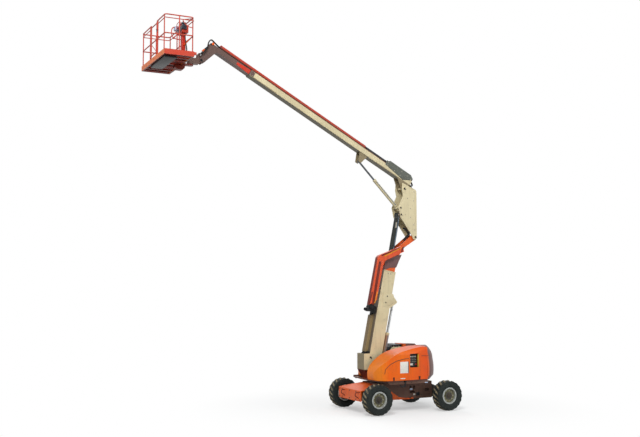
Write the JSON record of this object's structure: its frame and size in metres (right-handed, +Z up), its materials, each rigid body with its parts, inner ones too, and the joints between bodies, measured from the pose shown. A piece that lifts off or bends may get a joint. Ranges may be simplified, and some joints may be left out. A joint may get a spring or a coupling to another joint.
{
  "type": "articulating boom lift",
  "caption": "Self-propelled aerial work platform: a slewing base with a raised telescopic tower boom, an upright, a telescopic main boom and a levelled, rotating basket.",
  "frame": {"origin": "on the floor, where the slewing axis meets it", "axes": "+Z up, -X towards the platform and the drive axle, -Y to the left of an operator who looks along -X"},
  "size_m": [9.608, 2.49, 11.2449],
  "materials": {
    "basket_paint": "red-orange enamel",
    "black_paint": "satin black enamel",
    "brown_paint": "brown-mauve enamel, weathered",
    "chassis_paint": "dark grey-brown enamel",
    "console_grey": "grey-blue enamel",
    "cover_grey": "matte grey",
    "cream_paint": "gloss cream enamel",
    "grey_cast": "bare iron",
    "hose_rubber": "smooth hose cover",
    "orange_paint": "gloss orange enamel",
    "rim_paint": "light grey enamel",
    "rod_chrome": "hard chrome",
    "track_plastic": "moulded black",
    "tyre_rubber": "moulded rubber"
  },
  "bodies": {
    "chassis": {"chassis_frame": "chassis_paint", "chassis_nose": "orange_paint", "drive_axle": "black_paint", "steer_axle": "black_paint"},
    "knuckle_left": {"knuckle_left": "black_paint"},
    "knuckle_right": {"knuckle_right": "black_paint"},
    "tie_rod": {"tie_rod": "black_paint"},
    "drive_left_wheel": {"tyre_drive_left": "tyre_rubber", "rim_drive_left": "rim_paint"},
    "drive_right_wheel": {"tyre_drive_right": "tyre_rubber", "rim_drive_right": "rim_paint"},
    "steer_left_wheel": {"tyre_steer_left": "tyre_rubber", "rim_steer_left": "rim_paint"},
    "steer_right_wheel": {"tyre_steer_right": "tyre_rubber", "rim_steer_right": "rim_paint"},
    "turntable": {"turntable_frame": "cream_paint", "counterweight": "orange_paint", "engine_block": "grey_cast", "fluid_tank": "black_paint", "ground_control": "black_paint"},
    "hood_left": {"hood_left": "orange_paint"},
    "hood_right": {"hood_right": "orange_paint"},
    "tower_base": {"tower_base": "cream_paint", "tower_trough": "cream_paint"},
    "tower_fly": {"tower_fly": "orange_paint", "tower_guide": "orange_paint", "tower_hose_band": "track_plastic", "knee_hoses": "hose_rubber"},
    "tower_lift_barrel": {"tower_lift_barrel": "cream_paint"},
    "tower_lift_rod": {"tower_lift_rod": "rod_chrome"},
    "upright": {"upright": "cream_paint"},
    "upright_barrel": {"upright_barrel": "black_paint"},
    "upright_rod": {"upright_rod": "rod_chrome"},
    "main_base": {"main_base": "cream_paint", "main_cover": "cover_grey"},
    "main_lift_barrel": {"main_lift_barrel": "cream_paint"},
    "main_lift_rod": {"main_lift_rod": "rod_chrome"},
    "main_fly": {"main_fly": "brown_paint", "track_carrier": "orange_paint", "level_barrel": "black_paint", "nose_hoses": "hose_rubber"},
    "power_track": {"power_track": "track_plastic"},
    "platform_support": {"platform_support": "brown_paint"},
    "level_rod": {"level_rod": "rod_chrome"},
    "platform": {"platform_bracket": "basket_paint", "platform_floor": "basket_paint", "platform_rails": "basket_paint", "platform_console": "console_grey", "platform_hoses": "hose_rubber"},
    "gate": {"platform_gate": "basket_paint"}
  },
  "joints": [
    {"name": "steer_left", "type": "hinge", "parent": "chassis", "child": "knuckle_left", "pos_m": [1.245, -0.82, 0.468], "axis": [0, 0, 1], "range_deg": [-35, 35]},
    {"name": "steer_right", "type": "hinge", "parent": "chassis", "child": "knuckle_right", "pos_m": [1.245, 0.82, 0.468], "axis": [0, 0, 1], "range_deg": [-35, 35]},
    {"name": "tie_rod_slide", "type": "slide", "parent": "chassis", "child": "tie_rod", "axis": [0, 1, 0], "range_m": [-0.12, 0.12]},
    {"name": "drive_left_spin", "type": "hinge", "parent": "chassis", "child": "drive_left_wheel", "pos_m": [-1.245, -1.075, 0.468], "axis": [0, 1, 0], "continuous": true},
    {"name": "drive_right_spin", "type": "hinge", "parent": "chassis", "child": "drive_right_wheel", "pos_m": [-1.245, 1.075, 0.468], "axis": [0, 1, 0], "continuous": true},
    {"name": "steer_left_spin", "type": "hinge", "parent": "knuckle_left", "child": "steer_left_wheel", "pos_m": [1.245, -1.075, 0.468], "axis": [0, 1, 0], "continuous": true},
    {"name": "steer_right_spin", "type": "hinge", "parent": "knuckle_right", "child": "steer_right_wheel", "pos_m": [1.245, 1.075, 0.468], "axis": [0, 1, 0], "continuous": true},
    {"name": "slew", "type": "hinge", "parent": "chassis", "child": "turntable", "pos_m": [0, 0, 0.932], "axis": [0, 0, 1], "range_deg": [-180, 180]},
    {"name": "hood_left_hinge", "type": "hinge", "parent": "turntable", "child": "hood_left", "pos_m": [0, -0.388, 1.9], "axis": [-1, 0, 0], "range_deg": [0, 50]},
    {"name": "hood_right_hinge", "type": "hinge", "parent": "turntable", "child": "hood_right", "pos_m": [0, 0.388, 1.905], "axis": [1, 0, 0], "range_deg": [0, 50]},
    {"name": "tower_lift", "type": "hinge", "parent": "turntable", "child": "tower_base", "pos_m": [-0.984, 0, 1.651], "axis": [0, -1, 0], "range_deg": [-75, 0]},
    {"name": "tower_extend", "type": "slide", "parent": "tower_base", "child": "tower_fly", "axis": [0.1994, 0, 0.9799], "range_m": [0, 1.1]},
    {"name": "upright_level", "type": "hinge", "parent": "tower_fly", "child": "upright", "pos_m": [0.677, 0, 5.394], "axis": [0, -1, 0], "range_deg": [0, 75]},
    {"name": "tower_cylinder_swing", "type": "hinge", "parent": "turntable", "child": "tower_lift_barrel", "pos_m": [-0.52, 0, 1.15], "axis": [0, -1, 0], "range_deg": [-73, 0]},
    {"name": "tower_cylinder_stroke", "type": "slide", "parent": "tower_lift_barrel", "child": "tower_lift_rod", "axis": [0.215, 0, 0.9766], "range_m": [-0.84, 0]},
    {"name": "upright_cylinder_swing", "type": "hinge", "parent": "upright", "child": "upright_barrel", "pos_m": [0.15, 0, 6.1], "axis": [0, -1, 0], "range_deg": [-68, 0]},
    {"name": "upright_cylinder_stroke", "type": "slide", "parent": "upright_barrel", "child": "upright_rod", "axis": [-0.199, 0, -0.98], "range_m": [-1.05, 0]},
    {"name": "main_lift", "type": "hinge", "parent": "upright", "child": "main_base", "pos_m": [0.28, 0, 6.93], "axis": [0, 1, 0], "range_deg": [-38.5, 45]},
    {"name": "main_cylinder_swing", "type": "hinge", "parent": "upright", "child": "main_lift_barrel", "pos_m": [0.135, 0, 6.317], "axis": [0, 1, 0], "range_deg": [-32, 38]},
    {"name": "main_cylinder_stroke", "type": "slide", "parent": "main_lift_barrel", "child": "main_lift_rod", "axis": [-0.7019, 0, 0.7122], "range_m": [-0.33, 0.39]},
    {"name": "main_extend", "type": "slide", "parent": "main_base", "child": "main_fly", "axis": [-0.8788, 0, 0.4772], "range_m": [-0.85, 1.9]},
    {"name": "power_track_follow", "type": "slide", "parent": "main_base", "child": "power_track", "axis": [-0.8788, 0, 0.4772], "range_m": [-0.425, 0.95]},
    {"name": "platform_level", "type": "hinge", "parent": "main_fly", "child": "platform_support", "pos_m": [-6.49, 0, 10.33], "axis": [0, 1, 0], "range_deg": [-45, 38.5]},
    {"name": "level_cylinder_stroke", "type": "slide", "parent": "main_fly", "child": "level_rod", "axis": [-0.7459, 0, -0.6661], "range_m": [-0.11, 0.12]},
    {"name": "platform_rotate", "type": "hinge", "parent": "platform_support", "child": "platform", "pos_m": [-6.8, 0, 10.295], "axis": [0, 0, 1], "range_deg": [-90, 90]},
    {"name": "gate_swing", "type": "hinge", "parent": "platform", "child": "gate", "pos_m": [-7.8737, 0.208, 10.7], "axis": [0, 0, 1], "range_deg": [0, 90]}
  ],
  "couplings": [
    {"joint": "steer_right", "follows": "steer_left", "ratio": 1},
    {"joint": "tie_rod_slide", "follows": "steer_left", "m_per_rad": 0.19},
    {"joint": "upright_level", "follows": "tower_lift", "ratio": -1},
    {"joint": "tower_cylinder_swing", "follows": "tower_lift", "ratio": 0.972},
    {"joint": "tower_cylinder_stroke", "follows": "tower_lift", "m_per_rad": 0.6394},
    {"joint": "upright_cylinder_swing", "follows": "tower_lift", "ratio": 0.906},
    {"joint": "upright_cylinder_stroke", "follows": "tower_lift", "m_per_rad": 0.7987},
    {"joint": "main_cylinder_swing", "follows": "main_lift", "ratio": 0.83},
    {"joint": "main_cylinder_stroke", "follows": "main_lift", "m_per_rad": 0.4905},
    {"joint": "power_track_follow", "follows": "main_extend", "ratio": 0.5},
    {"joint": "platform_level", "follows": "main_lift", "ratio": -1},
    {"joint": "level_cylinder_stroke", "follows": "main_lift", "m_per_rad": 0.1524}
  ]
}
